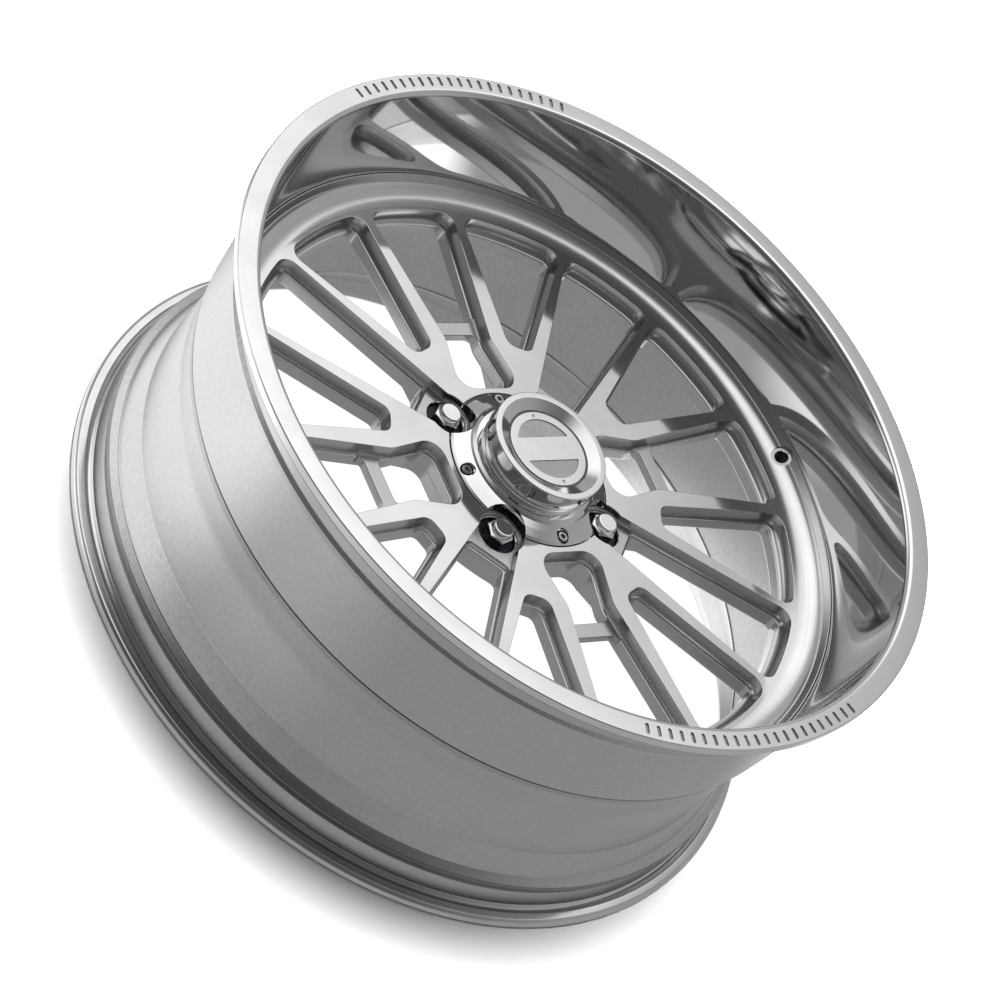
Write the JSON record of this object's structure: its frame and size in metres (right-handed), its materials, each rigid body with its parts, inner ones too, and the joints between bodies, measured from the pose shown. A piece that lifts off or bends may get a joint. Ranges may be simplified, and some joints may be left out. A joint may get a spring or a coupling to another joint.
{
  "type": "racing wheel rim",
  "caption": "Forged off-road racing wheel rim with a deep polished lip, a spoked centre disc, a screwed hub cap and lug nuts on steel seats.",
  "frame": {"origin": "on the wheel's axis, in the plane of the inboard flange that the wheel stands on", "axes": "+Z along the wheel's axis towards the outboard (spoke) face, +X through one of the four cap screws and the valve hole"},
  "size_m": [0.644, 0.644, 0.279],
  "materials": {
    "barrel_aluminium": "fine blasted outside and inside, polished lip",
    "disc_aluminium": "machined bright face, satin walls",
    "chrome": "bright chrome plate",
    "medallion_plate": "bright plate with two blasted recesses",
    "seat_steel": "dark phosphated steel",
    "screw_steel": "stainless steel",
    "rubber": "matt black"
  },
  "bodies": {
    "wheel": {"barrel": "barrel_aluminium", "centre_disc": "disc_aluminium", "rear_weld_ring": "barrel_aluminium", "cap_gasket": "rubber", "cap_base": "chrome", "cap_head": "chrome", "medallion_pad": "rubber", "medallion_ring": "rubber", "medallion": "medallion_plate", "cap_screw_1": "screw_steel", "cap_screw_2": "screw_steel", "cap_screw_3": "screw_steel", "cap_screw_4": "screw_steel", "lug_seat_1": "seat_steel", "lug_seat_2": "seat_steel", "lug_seat_3": "seat_steel", "lug_seat_4": "seat_steel"},
    "nut_1": {"lug_nut_1": "chrome"},
    "nut_2": {"lug_nut_2": "chrome"},
    "nut_3": {"lug_nut_3": "chrome"},
    "nut_4": {"lug_nut_4": "chrome"}
  },
  "joints": [
    {"name": "nut_1_turn", "type": "hinge", "parent": "wheel", "child": "nut_1", "pos_m": [0.05515, 0.05515, 0.17], "axis": [0, 0, 1], "continuous": true},
    {"name": "nut_2_turn", "type": "hinge", "parent": "wheel", "child": "nut_2", "pos_m": [-0.05515, 0.05515, 0.17], "axis": [0, 0, 1], "continuous": true},
    {"name": "nut_3_turn", "type": "hinge", "parent": "wheel", "child": "nut_3", "pos_m": [-0.05515, -0.05515, 0.17], "axis": [0, 0, 1], "continuous": true},
    {"name": "nut_4_turn", "type": "hinge", "parent": "wheel", "child": "nut_4", "pos_m": [0.05515, -0.05515, 0.17], "axis": [0, 0, 1], "continuous": true}
  ]
}
